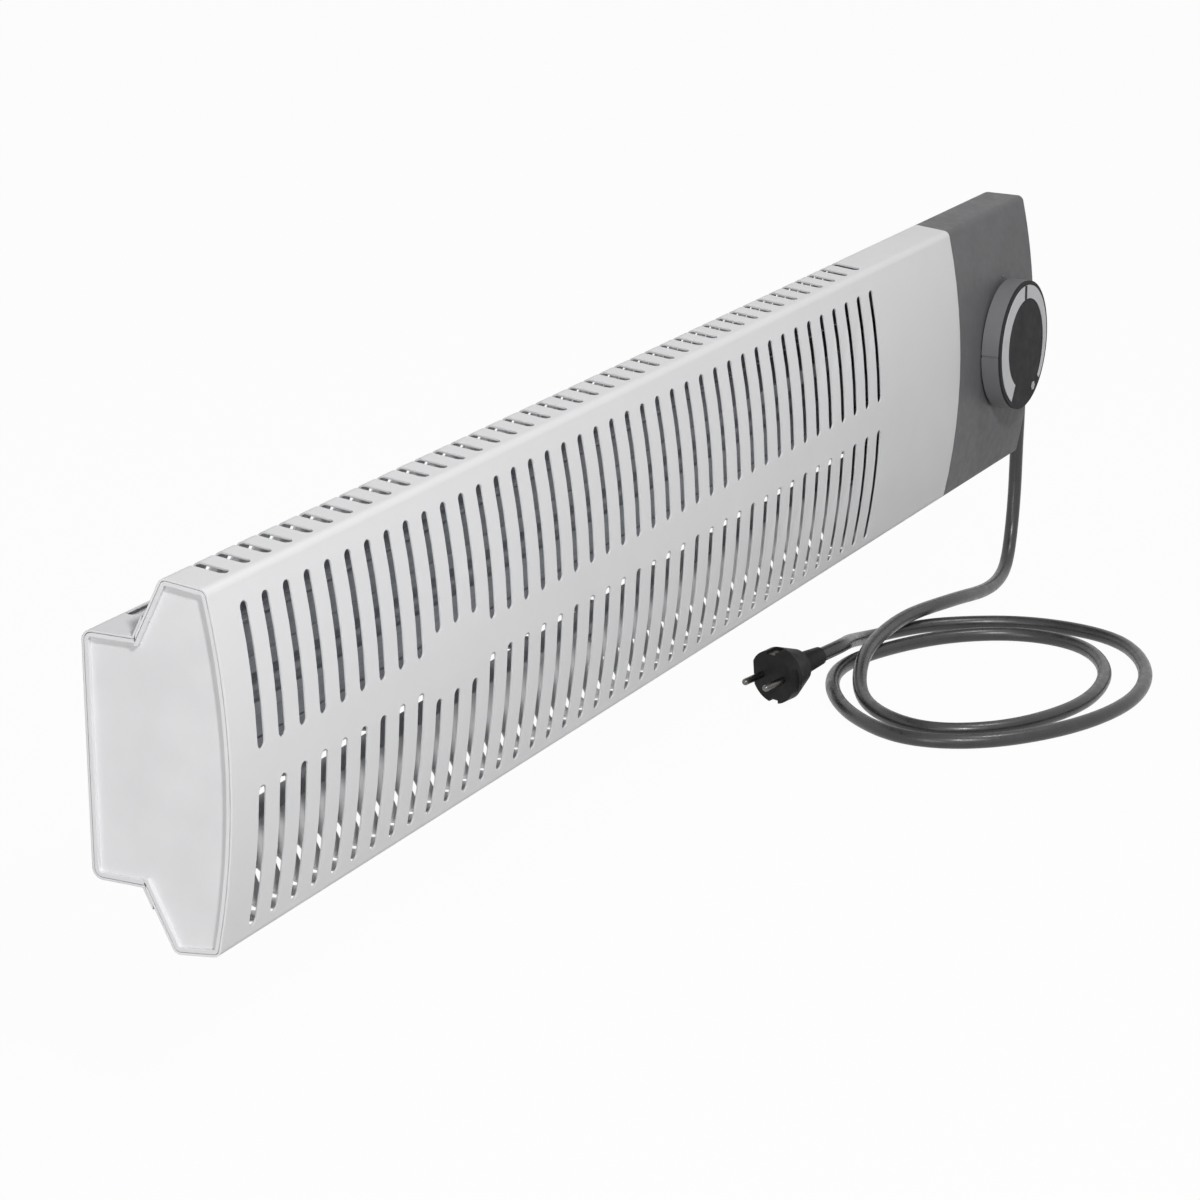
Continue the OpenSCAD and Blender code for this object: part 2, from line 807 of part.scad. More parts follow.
// Three bars crossed into a plain frost star
module frost_mark() {
    bar_w = frost_d / 8;
    tine_x = frost_d / 3;
    color([0.93, 0.93, 0.94]) placed() at_knob(knob_front_y)
        translate(frost_r * [cos(frost_a), sin(frost_a)]) linear_extrude(height = scale_t)
            for (a = [0, 60, 120]) rotate(a) {
                square([frost_d, bar_w], center = true);
                for (s = [-1, 1]) translate([s * tine_x, 0])
                    square([bar_w, frost_d / 3], center = true);
            }
}

module knob_spring_clip() {
    color([0.75, 0.75, 0.76]) placed() at_knob(hub_foot_y - clip_w) difference() {
        cylinder(h = clip_w, r = hub_r + clip_t);
        translate([0, 0, -over]) cylinder(h = clip_w + 2 * over, r = hub_r + run_gap);
        translate([0, -clip_t, -over]) cube([2 * hub_r, 2 * clip_t, clip_w + 2 * over]);
    }
}

module thermostat_spindle() {
    color([0.8, 0.8, 0.8]) placed() at_knob(spindle_root_y)
        cylinder(h = spindle_root_y - spindle_tip_y, d = spindle_d);
}

module thermostat_bush() {
    bush_l = stat_front_y - nut_y + run_gap;
    color([0.78, 0.74, 0.55]) placed() at_knob(stat_front_y) difference() {
        cylinder(h = bush_l, d = bush_d);
        translate([0, 0, -over]) cylinder(h = bush_l + 2 * over, r = spindle_d / 2 + run_gap);
    }
}

module thermostat_nut() {
    color([0.7, 0.7, 0.72]) placed() at_knob(nut_y + nut_t) difference() {
        cylinder(h = nut_t, d = nut_d, $fn = 6);
        translate([0, 0, -over]) cylinder(h = nut_t + 2 * over, r = bush_d / 2 + run_gap);
    }
}

stat_case_share = 0.7;
stat_lip = 2.5;

module thermostat_body() {
    case_d = stat_d * stat_case_share;
    color([0.9, 0.88, 0.82]) placed() difference() {
        union() {
            translate([knob_x - stat_w / 2, stat_front_y, -stat_h / 2])
                cube([stat_w, case_d, stat_h]);
            translate([knob_x - stat_w / 2 + stat_lip, stat_front_y + case_d - over,
                -stat_h / 2 + stat_lip])
                cube([stat_w - 2 * stat_lip, stat_d - case_d + over, stat_h - 2 * stat_lip]);
        }
        at_knob(spindle_well_y)
            cylinder(h = spindle_well_y - stat_front_y + over, r = spindle_d / 2 + run_gap);
    }
}

tab_w = 6.3;
tab_t = 0.8;
tab_l = 9;
tab_x_share = 0.3;
tab_z_share = 0.25;

module thermostat_tabs() {
    color([0.82, 0.76, 0.45]) placed()
        for (sx = [-1, 1]) for (sz = [-1, 1])
            translate([knob_x + sx * stat_w * tab_x_share - tab_w / 2, stat_back_y,
                sz * stat_h * tab_z_share - tab_t / 2])
                cube([tab_w, tab_l, tab_t]);
}

module sensor_bulb() {
    color([0.8, 0.55, 0.4]) placed() {
        bar_x([bulb_x0 + bulb_d / 2, bulb_y, bulb_z], bulb_l - bulb_d, bulb_d / 2);
        for (x = [bulb_x0 + bulb_d / 2, bulb_x1 - bulb_d / 2])
            translate([x, bulb_y, bulb_z]) sphere(d = bulb_d);
    }
}

module sensor_grommet() {
    color([0.2, 0.2, 0.2]) placed() difference() {
        union() {
            bar_x([bulkhead_x - grommet_t / 2, bulb_y, bulb_z], grommet_t + bulkhead_t,
                grommet_r - run_gap);
            for (x = [bulkhead_x - grommet_t / 2, bulkhead_x + bulkhead_t])
                bar_x([x, bulb_y, bulb_z], grommet_t / 2, grommet_r + bulkhead_t);
        }
        bar_x([bulkhead_x - grommet_t, bulb_y, bulb_z], 3 * grommet_t, bulb_d / 2 + run_gap);
    }
}

wire_steps = 4;
wire_sides = 8;

// Round wire that bends gently between its straight ends
module wire(points, d) {
    tube(curve(points, wire_steps), d, wire_sides);
}

capillary_y = stat_front_y + stat_d * (1 + stat_case_share) / 2;
module capillary_tube() {
    drop_x = knob_x - stat_w / 3;
    color([0.8, 0.55, 0.4]) placed() wire([
        [bulb_x1, bulb_y, bulb_z],
        [drop_x, bulb_y, bulb_z],
        [drop_x, capillary_y, -stat_h / 2 - 4 * capillary_d],
        [drop_x, capillary_y, -stat_h / 2 + stat_lip]
    ], capillary_d);
}

wing_a = atan2(wing_z, wing_y);
module element_fins() {
    color([0.62, 0.63, 0.65]) placed()
        translate([0, element_y, element_z]) along_x(element_x, element_x + element_l)
            difference() {
                union() {
                    circle(d = hub_d);
                    for (sy = [0, 1]) for (sz = [0, 1]) mirror([sy, 0]) mirror([0, sz]) {
                        rotate(wing_a) translate([0, -wing_t / 2])
                            square([norm([wing_y, wing_z]) - wing_t, wing_t]);
                        translate([wing_y - wing_t, wing_z - wing_lip]) square([wing_t, wing_lip]);
                    }
                }
                circle(r = rod_d / 2 + run_gap);
            }
}

module element_rod() {
    color([0.35, 0.35, 0.36]) placed()
        bar_x([rod_x0, element_y, element_z], rod_x1 - rod_x0, rod_d / 2);
}

module element_insulators() {
    color([0.93, 0.92, 0.88]) placed() difference() {
        for (x = [left_ins_x, right_ins_x])
            bar_x([x, element_y, element_z], insulator_l, insulator_d / 2);
        bar_x([0, element_y, element_z], body_l, rod_d / 2 + run_gap);
    }
}

module element_studs() {
    color([0.75, 0.75, 0.76]) placed() for (s = [-1, 1])
        bar_x([rod_x1, element_y + s * rod_d / 4, element_z], stud_l, stud_r / 2);
}

module element_brackets() {
    color([0.7, 0.71, 0.72]) placed() for (i = [0, 1]) difference() {
        union() {
            translate([bracket_x[i] - bracket_t / 2, element_y - insulator_d / 2 - bracket_t,
                element_z - bracket_h / 2])
                cube([bracket_t, back_y - element_y + insulator_d / 2 + bracket_t, bracket_h]);
            translate([bracket_x[i] - (bracket_side[i] > 0 ? 0 : foot_l), back_y - bracket_t,
                element_z - bracket_h / 2])
                cube([foot_l, bracket_t, bracket_h]);
        }
        bar_x([bracket_x[i] - bracket_t, element_y, element_z], 2 * bracket_t,
            insulator_d / 2 + run_gap);
        for (z = rivet_z) bar_y([rivet_x(i), back_y - 2 * bracket_t, z], 3 * bracket_t,
            rivet_hole_d / 2);
    }
}

// A rivet through a sheet of thickness t that lies inside the rear wall
module rear_rivet(x, z, t) {
    bar_y([x, back_y - t, z], t + sheet_t, rivet_d / 2);
    bar_y([x, back_y - t - rivet_head_h, z], rivet_head_h, rivet_head_d / 2);
    bar_y([x, body_d, z], rivet_head_h, rivet_head_d / 2);
}

module bracket_rivets() {
    color([0.66, 0.67, 0.68]) placed()
        for (i = [0, 1]) for (z = rivet_z) rear_rivet(rivet_x(i), z, bracket_t);
}

module reflector() {
    foot_y = back_y - reflector_t;
    upper = [
        [reflector_web_y, 0],
        [reflector_web_y, reflector_half],
        [foot_y, reflector_half + reflector_splay],
        [foot_y, reflector_half + reflector_splay + reflector_foot],
        [back_y, reflector_half + reflector_splay + reflector_foot],
        [back_y, reflector_half + reflector_splay - reflector_t / 2],
        [reflector_web_y + reflector_t, reflector_half - reflector_t / 2],
        [reflector_web_y + reflector_t, 0]
    ];
    color([0.74, 0.75, 0.77]) placed() difference() {
        along_x(reflector_x0, reflector_x1) {
            polygon(upper);
            mirror([0, 1]) polygon(upper);
        }
        for (x = reflector_rivet_x) for (s = [-1, 1])
            rear_holes(x, s * reflector_foot_z, rivet_hole_d);
    }
}

module reflector_rivets() {
    color([0.66, 0.67, 0.68]) placed() for (x = reflector_rivet_x) for (s = [-1, 1])
        rear_rivet(x, s * reflector_foot_z, reflector_t);
}

cutout_ear_share = 0.75;

module thermal_cutout() {
    color([0.15, 0.15, 0.16]) placed() difference() {
        union() {
            bar_x([bulkhead_x - cutout_t, cutout_y, cutout_z], cutout_t, cutout_d / 2);
            translate([bulkhead_x - bulkhead_t, cutout_y - rivet_head_d / 2,
                cutout_z - cutout_d * cutout_ear_share - rivet_head_d / 2])
                cube([bulkhead_t, rivet_head_d, 2 * cutout_d * cutout_ear_share + rivet_head_d]);
            for (s = [-1, 1]) translate([bulkhead_x, cutout_y - tab_w / 2, cutout_z + s * stud_r])
                cube([tab_l, tab_w, tab_t]);
        }
        for (s = [-1, 1])
            bar_x([bulkhead_x - 2 * bulkhead_t, cutout_y, cutout_z + s * cutout_d * cutout_ear_share],
                3 * bulkhead_t, rivet_hole_d / 2);
    }
}

module cutout_screws() {
    color([0.66, 0.67, 0.68]) placed() for (s = [-1, 1]) {
        z = cutout_z + s * cutout_d * cutout_ear_share;
        bar_x([bulkhead_x - bulkhead_t, cutout_y, z], 2 * bulkhead_t, rivet_d / 2);
        for (x = [bulkhead_x - bulkhead_t - rivet_head_h, bulkhead_x + bulkhead_t])
            bar_x([x, cutout_y, z], rivet_head_h, rivet_head_d / 2);
    }
}

block_y = back_y - block_d;
function pole_x(i) = block_x + pole_pitch * (i + 0.5 + pole_end_share);

module terminal_block() {
    color([0.93, 0.93, 0.91]) placed() difference() {
        translate([block_x, block_y, block_z - block_h / 2]) cube([block_l, block_d, block_h]);
        for (i = [0 : block_pole_n - 1]) {
            translate([pole_x(i), block_y + block_d / 2, block_z - block_h])
                cylinder(h = 2 * block_h, r = wire_d / 2 + seat_gap);
            bar_y([pole_x(i), block_y - over, block_z], block_d / 2, pole_r);
        }
    }
}

module terminal_screws() {
    color([0.8, 0.75, 0.5]) placed() for (i = [0 : block_pole_n - 1]) difference() {
        bar_y([pole_x(i), block_y + cross_w, block_z], block_d / 4, pole_r - run_gap);
        translate([pole_x(i) - pole_r, block_y, block_z - cross_w / 2])
            cube([2 * pole_r, cross_d + cross_w, cross_w]);
    }
}

tag_t = 1;
tag_r = 4.5;
earth_stud_l = 10;
earth_nut_d = 8;

module earth_stud() {
    color([0.75, 0.75, 0.76]) placed() {
        bar_y([earth_x, back_y - earth_stud_l, earth_z], earth_stud_l + sheet_t, rivet_d / 2);
        bar_y([earth_x, body_d, earth_z], rivet_head_h, rivet_head_d / 2);
    }
}

module earth_tag() {
    color([0.8, 0.76, 0.5]) placed() difference() {
        union() {
            bar_y([earth_x, back_y - tag_t, earth_z], tag_t, tag_r);
            translate([earth_x - wire_d, back_y - tag_t, earth_z - 3 * tag_r])
                cube([2 * wire_d, tag_t, 3 * tag_r]);
        }
        bar_y([earth_x, back_y - 2 * tag_t, earth_z], 3 * tag_t, rivet_hole_d / 2);
    }
}

module earth_nut() {
    color([0.7, 0.7, 0.72]) placed() translate([earth_x, back_y - tag_t, earth_z])
        rotate([90, 0, 0]) difference() {
            cylinder(h = 3 * tag_t, d = earth_nut_d, $fn = 6);
            translate([0, 0, -over]) cylinder(h = 5 * tag_t, r = rivet_hole_d / 2);
        }
}

wire_z0 = block_z - block_h / 2;
wire_z1 = block_z + block_h / 2;
pole_y = block_y + block_d / 2;
tail_y = outlet_y;
tail_z = outlet_z;
core_step = 2.8;
pole_reach = 2.5;
neutral_rise = 7;

// Where a core leaves the sheath, and where it goes in and out of the block's pole i
function core_at(dy, dz) = [tail_x0 - wire_d / 2, tail_y + dy, tail_z + dz];
function pole_in(i) = [pole_x(i), pole_y, wire_z0 + pole_reach];
function pole_out(i) = [pole_x(i), pole_y, wire_z1 - pole_reach];

// From the lead's live core to the block, then by way of the thermostat and cutout
module wire_live() {
    tab_x = knob_x - stat_w * tab_x_share;
    tab_z = stat_h * tab_z_share;
    tab_y = stat_back_y + tab_l;
    color([0.45, 0.26, 0.14]) placed() {
        wire([
            core_at(0, -core_step),
            [tail_x0 - cord_d, tail_y + cord_d, wire_z0 - cord_d],
            [pole_x(0), pole_y, wire_z0 - cord_d],
            pole_in(0)
        ], wire_d);
        wire([
            pole_out(0),
            [pole_x(0), pole_y, wire_z1 + wire_d],
            [tab_x, tab_y + cord_d, -tab_z],
            [tab_x, tab_y, -tab_z]
        ], wire_d);
        wire([
            [tab_x, tab_y, tab_z],
            [tab_x, tab_y + cord_d, tab_z],
            [tab_x, tab_y, cutout_z],
            [bulkhead_x + tab_l, cutout_y, cutout_z + stud_r + tab_t + wire_d / 2]
        ], wire_d);
        wire([
            [bulkhead_x + tab_l, cutout_y, cutout_z - stud_r - wire_d / 2],
            [bulkhead_x + 2 * tab_l, element_y - cord_d / 2, cutout_z - cord_d],
            [bulkhead_x + tab_l, element_y - rod_d / 4, element_z],
            [rod_x1 + stud_l, element_y - rod_d / 4, element_z]
        ], wire_d);
    }
}

module wire_neutral() {
    rod_y = element_y + rod_d / 4 + wire_d / 4;
    color([0.2, 0.35, 0.65]) placed() {
        wire([
            core_at(-core_step, 0),
            [tail_x0 - cord_d, tail_y + cord_d / 2, wire_z0 - cord_d / 2],
            [pole_x(1), pole_y, wire_z0 - cord_d / 2],
            pole_in(1)
        ], wire_d);
        wire([
            pole_out(1),
            [pole_x(1), pole_y, wire_z1 + neutral_rise],
            [bulkhead_x + tab_l, rod_y + wire_d, element_z - cord_d],
            [bulkhead_x + tab_l, rod_y, element_z],
            [rod_x1 + stud_l, rod_y, element_z]
        ], wire_d);
    }
}

module wire_earth() {
    back_run_y = back_y - tag_t - wire_d / 2;
    color([0.45, 0.62, 0.2]) placed() {
        wire([
            core_at(0, core_step),
            [tail_x0 - cord_d / 2, tail_y + 2 * cord_d, wire_z0 - wire_d],
            [pole_x(2), pole_y, wire_z0 - wire_d],
            pole_in(2)
        ], wire_d);
        wire([
            pole_out(2),
            [pole_x(2), pole_y, wire_z1 + wire_d],
            [earth_x, back_run_y, earth_z - 3 * tag_r],
            [earth_x, back_run_y, earth_z - 2 * tag_r]
        ], wire_d);
    }
}

module cord_gland() {
    color([0.24, 0.24, 0.25]) placed() {
        bar_x([gland_in_x, outlet_y, outlet_z], body_l - gland_in_x, gland_r);
        bar_x([body_l, outlet_y, outlet_z], gland_flange_t, gland_flange_r);
        translate([relief_x, outlet_y, outlet_z]) rotate([0, 90, 0])
            cylinder(h = relief_l, r1 = relief_r0, r2 = relief_r1);
    }
}

module gland_nut() {
    color([0.3, 0.3, 0.31]) placed() difference() {
        bar_x([gland_boss_x - gland_nut_t, outlet_y, outlet_z], gland_nut_t, gland_boss_r - over);
        bar_x([gland_in_x - over, outlet_y, outlet_z], 3 * gland_nut_t, gland_r + run_gap);
    }
}

module cord_tail() {
    color([0.27, 0.27, 0.28]) placed()
        bar_x([tail_x0, tail_y, tail_z], gland_in_x - tail_x0, cord_d / 2);
}

// Saddle over the lead's tail and the bridge under it
module cord_clamp() {
    color([0.33, 0.33, 0.34]) placed() difference() {
        translate([clamp_x - clamp_w / 2, clamp_y, clamp_base_z])
            cube([clamp_w, 2 * clamp_half_w, clamp_top_z - clamp_base_z]);
        bar_x([clamp_x - clamp_w, outlet_y, outlet_z], 2 * clamp_w, cord_d / 2);
        for (y = clamp_screw_y) translate([clamp_x, y, clamp_base_z - over])
            cylinder(h = far, d = screw_d + 2 * run_gap);
    }
}

module clamp_screws() {
    color([0.6, 0.6, 0.62]) placed() for (y = clamp_screw_y)
        translate([clamp_x, y, clamp_top_z]) screw();
}

rail_x0 = body_l / 2 - rail_l / 2;

module wall_rail() {
    color([0.7, 0.71, 0.72]) placed() difference() {
        union() {
            translate([rail_x0, wall_y - rail_t, -rail_h / 2]) cube([rail_l, rail_t, rail_h]);
            for (x = hook_x) translate([x - hook_w / 2, 0, 0]) {
                translate([0, hook_reach_y, hook_z - rail_t])
                    cube([hook_w, wall_y - hook_reach_y, rail_t]);
                translate([0, hook_reach_y, hook_z - rail_t])
                    cube([hook_w, rail_t, hook_lip + rail_t]);
            }
        }
        for (s = [-1, 1])
            bar_y([body_l / 2 + s * wall_screw_pitch / 2, wall_y - rail_t - over, 0],
                rail_t + 2 * over, wall_hole_d / 2);
    }
}

module wall_spacers() {
    color([0.2, 0.2, 0.2]) placed()
        for (s = [spacer_x_share, 1 - spacer_x_share])
            bar_y([body_l * s, body_d, spacer_z], wall_gap, spacer_r);
}

// Points of a smooth curve through the route, n steps for each span between its straight ends
function eased(a, b, c, d, t) = 0.5 * (2 * b + (c - a) * t + (2 * a - 5 * b + 4 * c - d) * t * t
    + (3 * b - a - 3 * c + d) * t * t * t);
function curve(p, n) = let (m = len(p) - 1) [
    p[0],
    for (i = [1 : m - 2]) for (k = [0 : n - 1]) eased(p[i - 1], p[i], p[i + 1], p[i + 2], k / n),
    p[m - 1],
    p[m]
];
function heading(p, i) = unit(p[min(i + 1, len(p) - 1)] - p[max(i - 1, 0)]);
function squared(n, t) = unit(n - t * (n * t));

// A tube of diameter d along the points, with flat ends square to it
module tube(p, d, sides) {
    m = len(p);
    t = [for (i = [0 : m - 1]) heading(p, i)];
    n = [for (i = 0, v = squared([0, 0, 1], t[0]); i < m;
        i = i + 1, v = i < m ? squared(v, t[i]) : v) v];
    rings = [for (i = [0 : m - 1]) for (k = [0 : sides - 1])
        let (a = 360 * k / sides)
            p[i] + (n[i] * cos(a) + cross(t[i], n[i]) * sin(a)) * d / 2];
    sides_f = [for (i = [0 : m - 2]) for (k = [0 : sides - 1]) for (h = [0, 1])
        let (a = i * sides + k, b = i * sides + (k + 1) % sides)
            h == 0 ? [a, a + sides, b] : [b, a + sides, b + sides]];
    start_f = [for (k = [1 : sides - 2]) [0, k, k + 1]];
    end_f = [for (k = [1 : sides - 2]) [0, k + 1, k] + (m - 1) * sides * [1, 1, 1]];
    polyhedron(points = rings, faces = concat(sides_f, start_f, end_f), convexity = 10);
}

function run_length(p, i = 0) = i >= len(p) - 1 ? 0 : norm(p[i + 1] - p[i]) + run_length(p, i + 1);
cord_fine = curve(cord_route, 6);
cord_skip = 12;
cord_gap = min([for (i = [0 : len(cord_fine) - 1]) for (j = [i + cord_skip : 1 : len(cord_fine) - 1])
    norm(cord_fine[i] - cord_fine[j])]) - cord_d;

module power_cord() {
    echo(lead_length = run_length(cord_fine), gap_to_itself = cord_gap);
    color([0.27, 0.27, 0.28]) tube(curve(cord_route, 2), cord_d, cord_sides);
}

// The plug's own frame: X from the pins to the lead, along the lead's last run, 0 at the sleeve's end
module at_plug() {
    translate(plug_tip) rotate([0, plug_tilt, plug_turn]) children();
}

sleeve_r = 8.5;
module plug_sleeve() {
    color([0.2, 0.2, 0.21]) at_plug() translate([plug_body_x, 0, 0]) rotate([0, 90, 0])
        cylinder(h = sleeve_l, r1 = sleeve_r, r2 = relief_r1);
}

module plug_body() {
    color([0.2, 0.2, 0.21]) at_plug() difference() {
        union() {
            bar_x([plug_face_x, 0, 0], plug_rim_l, plug_d / 2);
            translate([plug_face_x + plug_rim_l, 0, 0]) rotate([0, 90, 0])
                cylinder(h = plug_l - plug_rim_l, d1 = plug_d, d2 = plug_neck_d);
        }
        for (s = [0, 1]) mirror([0, s, 0])
            translate([plug_face_x - over, plug_flat / 2, -plug_d])
                cube([plug_rim_l + over - groove_d, plug_d, 2 * plug_d]);
        for (s = [0, 1]) mirror([0, 0, s])
            translate([plug_face_x - over, -groove_w / 2, plug_d / 2 - groove_d])
                cube([plug_rim_l + over, groove_w, groove_d + over]);
        for (s = [-1, 1])
            bar_x([plug_face_x - over, s * pin_pitch / 2, 0],
                plug_rim_l / 2 + over, pin_root_d / 2 + run_gap);
    }
}

// Narrower root of each pin, from just in front of the plug's face
pin_neck = 0.4;
pin_root_d = pin_d - 2 * pin_neck;
module plug_pins() {
    color([0.75, 0.75, 0.76]) at_plug() for (s = [-1, 1])
        translate([plug_face_x - pin_l + pin_d / 2, s * pin_pitch / 2, 0]) {
            sphere(d = pin_d);
            rotate([0, 90, 0]) cylinder(h = pin_l - pin_d / 2 - pin_neck, d = pin_d);
            rotate([0, 90, 0]) cylinder(h = pin_l - pin_d / 2 + plug_rim_l / 2, d = pin_root_d);
        }
}

module plug_earth_clips() {
    color([0.78, 0.74, 0.55]) at_plug() for (s = [0, 1]) mirror([0, 0, s])
        translate([plug_face_x + clip_strip_t, -clip_strip_w / 2, plug_d / 2 - groove_d])
            cube([plug_rim_l - 2 * clip_strip_t, clip_strip_w, clip_strip_t]);
}

front_cover();
rear_casing();
left_end_cap();
control_housing();
bulkhead();
cover_screws();
housing_screws();
end_cap_screws();
knob_body();
knob_face();
scale_ring();
frost_mark();
knob_spring_clip();
thermostat_spindle();
thermostat_bush();
thermostat_nut();
thermostat_body();
thermostat_tabs();
dial_index();
sensor_bulb();
capillary_tube();
sensor_grommet();
element_fins();
element_rod();
element_insulators();
element_studs();
element_brackets();
bracket_rivets();
reflector();
reflector_rivets();
thermal_cutout();
cutout_screws();
terminal_block();
terminal_screws();
earth_stud();
earth_tag();
earth_nut();
wire_live();
wire_neutral();
wire_earth();
cord_gland();
gland_nut();
cord_clamp();
clamp_screws();
cord_tail();
wall_rail();
wall_spacers();
power_cord();
plug_sleeve();
plug_body();
plug_pins();
plug_earth_clips();
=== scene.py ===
"""Frost protection heater on its wall rail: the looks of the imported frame. Metres throughout."""

import math

import bpy
from mathutils import Matrix, Vector


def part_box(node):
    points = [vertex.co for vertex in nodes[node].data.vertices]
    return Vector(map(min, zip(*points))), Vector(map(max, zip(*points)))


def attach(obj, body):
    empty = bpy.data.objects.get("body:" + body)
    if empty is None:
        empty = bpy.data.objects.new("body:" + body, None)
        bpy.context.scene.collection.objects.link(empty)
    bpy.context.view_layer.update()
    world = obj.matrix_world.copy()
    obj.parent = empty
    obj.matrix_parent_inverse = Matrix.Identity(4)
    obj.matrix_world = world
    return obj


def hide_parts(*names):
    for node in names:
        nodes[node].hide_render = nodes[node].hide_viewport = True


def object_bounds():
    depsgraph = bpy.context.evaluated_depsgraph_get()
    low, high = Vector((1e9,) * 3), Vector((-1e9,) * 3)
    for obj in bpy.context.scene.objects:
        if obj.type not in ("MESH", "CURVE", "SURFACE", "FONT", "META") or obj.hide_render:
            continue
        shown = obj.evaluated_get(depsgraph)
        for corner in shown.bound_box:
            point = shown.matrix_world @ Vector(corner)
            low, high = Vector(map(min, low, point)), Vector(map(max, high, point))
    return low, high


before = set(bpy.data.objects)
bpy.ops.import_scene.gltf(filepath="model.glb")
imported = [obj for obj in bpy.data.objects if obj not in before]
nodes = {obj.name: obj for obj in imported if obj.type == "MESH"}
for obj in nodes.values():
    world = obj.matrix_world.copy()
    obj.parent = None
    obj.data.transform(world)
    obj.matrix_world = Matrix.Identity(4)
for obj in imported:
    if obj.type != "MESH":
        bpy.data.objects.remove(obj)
cad_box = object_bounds()
MM = 0.001


# Camera, at the photograph's place and angle

CAMERA_AT = Vector((-2.0425, -1.0723, 0.6404))
CAMERA_AZIMUTH = math.radians(62.71)
CAMERA_ELEVATION = math.radians(17.16)
CAMERA_ROLL = math.radians(-0.33)
PHOTO_SIDE_PX = 1200
FOCAL_PX = 3827.9
SENSOR_MM = 36.0
CAMERA_NEAR = 0.05
CAMERA_FAR = 50


def make_camera():
    flat = math.cos(CAMERA_ELEVATION)
    ahead = Vector((
        math.sin(CAMERA_AZIMUTH) * flat,
        math.cos(CAMERA_AZIMUTH) * flat,
        -math.sin(CAMERA_ELEVATION),
    ))
    level = Vector((math.cos(CAMERA_AZIMUTH), -math.sin(CAMERA_AZIMUTH), 0))
    plumb = level.cross(ahead)
    c, s = math.cos(CAMERA_ROLL), math.sin(CAMERA_ROLL)
    right = c * level + s * plumb
    up = c * plumb - s * level
    data = bpy.data.cameras.new("camera")
    data.sensor_width = SENSOR_MM
    data.lens = SENSOR_MM * FOCAL_PX / PHOTO_SIDE_PX
    data.clip_start = CAMERA_NEAR
    data.clip_end = CAMERA_FAR
    camera = bpy.data.objects.new("camera", data)
    bpy.context.scene.collection.objects.link(camera)
    turn = Matrix((right, up, -ahead)).transposed().to_4x4()
    camera.matrix_world = Matrix.Translation(CAMERA_AT) @ turn
    bpy.context.scene.camera = camera


# Mains lead, along the CAD route

CORD_D = 10 * MM
CORD_SECTION_STEPS = 8
CORD_STEPS = 8              # points worked out for each span of the route
CORD_GAP = 4 * MM           # distance between the points kept
CORD_PASSES = 14            # rounds of easing
CORD_ROUTE_MM = [
    (573, -63, -40), (576, -63, -40), (588, -63, -42), (599, -63, -48), (607, -62, -58),
    (612, -62, -73), (612, -61, -106), (610, -61, -148), (601, -62, -181), (577, -67, -199),
    (530, -72, -200), (468, -71, -191), (405, -61, -187), (354, -60, -188), (307, -67, -191),
    (262, -85, -199), (227, -116, -200), (213, -159, -200), (244, -204, -200), (308, -229, -200),
    (377, -221, -200), (427, -186, -200), (436, -137, -200), (408, -91, -200), (356, -60, -200),
    (306, -50, -200), (258, -66, -200), (214, -102, -200), (190, -150, -200), (208, -200, -200),
    (263, -241, -200), (331, -257, -200), (400, -242, -200), (454, -199, -200), (463, -132, -200),
    (430, -71, -200), (380, -42, -199), (332, -46, -188), (297, -55, -180), (275, -48, -182),
]


def eased(a, b, c, d, t):
    """Catmull-Rom between b and c, as part.scad has it."""
    return 0.5 * (
        2 * b + (c - a) * t + (2 * a - 5 * b + 4 * c - d) * t * t
        + (3 * b - a - 3 * c + d) * t * t * t
    )


def smooth_route(points, steps):
    """One smooth curve through the points, with a mirrored point past each end."""
    before = 2 * points[0] - points[1]
    after = 2 * points[-1] - points[-2]
    reach = [before, *points, after]
    made = []
    for i in range(1, len(reach) - 2):
        made += [eased(*reach[i - 1:i + 3], k / steps) for k in range(steps)]
    return made + points[-1:]


def evened(path, gap):
    """The same path with its points at even distances."""
    total = sum((b - a).length for a, b in zip(path, path[1:]))
    count = round(total / gap)
    step = total / count
    made = [path[0]]
    run = 0
    for a, b in zip(path, path[1:]):
        span = (b - a).length
        while len(made) < count and run + span >= len(made) * step:
            made.append(a.lerp(b, (len(made) * step - run) / span))
        run += span
    return made + [path[-1]]


def relaxed(path, passes):
    """The path with its sharpest turns eased; two points at each end keep the ends square."""
    for _ in range(passes):
        inner = [(a + 2 * b + c) / 4 for a, b, c in zip(path[1:], path[2:], path[3:-1])]
        path = [*path[:2], *inner, *path[-2:]]
    return path


def tube_curve(name, path, diameter):
    """A curve of one open spline along the path, with a round section."""
    data = bpy.data.curves.new(name, "CURVE")
    data.dimensions = "3D"
    data.bevel_depth = diameter / 2
    data.bevel_resolution = CORD_SECTION_STEPS
    data.use_fill_caps = True
    spline = data.splines.new("POLY")
    spline.points.add(len(path) - 1)
    for point, place in zip(spline.points, path):
        point.co = (*place, 1)
    spline.use_smooth = True
    made = bpy.data.objects.new(name, data)
    bpy.context.scene.collection.objects.link(made)
    return made


def make_lead():
    path = smooth_route([Vector(p) * MM for p in CORD_ROUTE_MM], CORD_STEPS)
    path = relaxed(evened(path, CORD_GAP), CORD_PASSES)
    lead = tube_curve("mains_lead", path, CORD_D)
    lead.data.materials.append(finishes["cord_sheath"])
    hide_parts("power_cord")
    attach(lead, "heater")


# Dark tick printed across the top of the knob's scale

TICK_W = 4 * MM
TICK_L = 10.4 * MM
TICK_T = 0.15 * MM
TICK_CORNER = 0.5 * MM


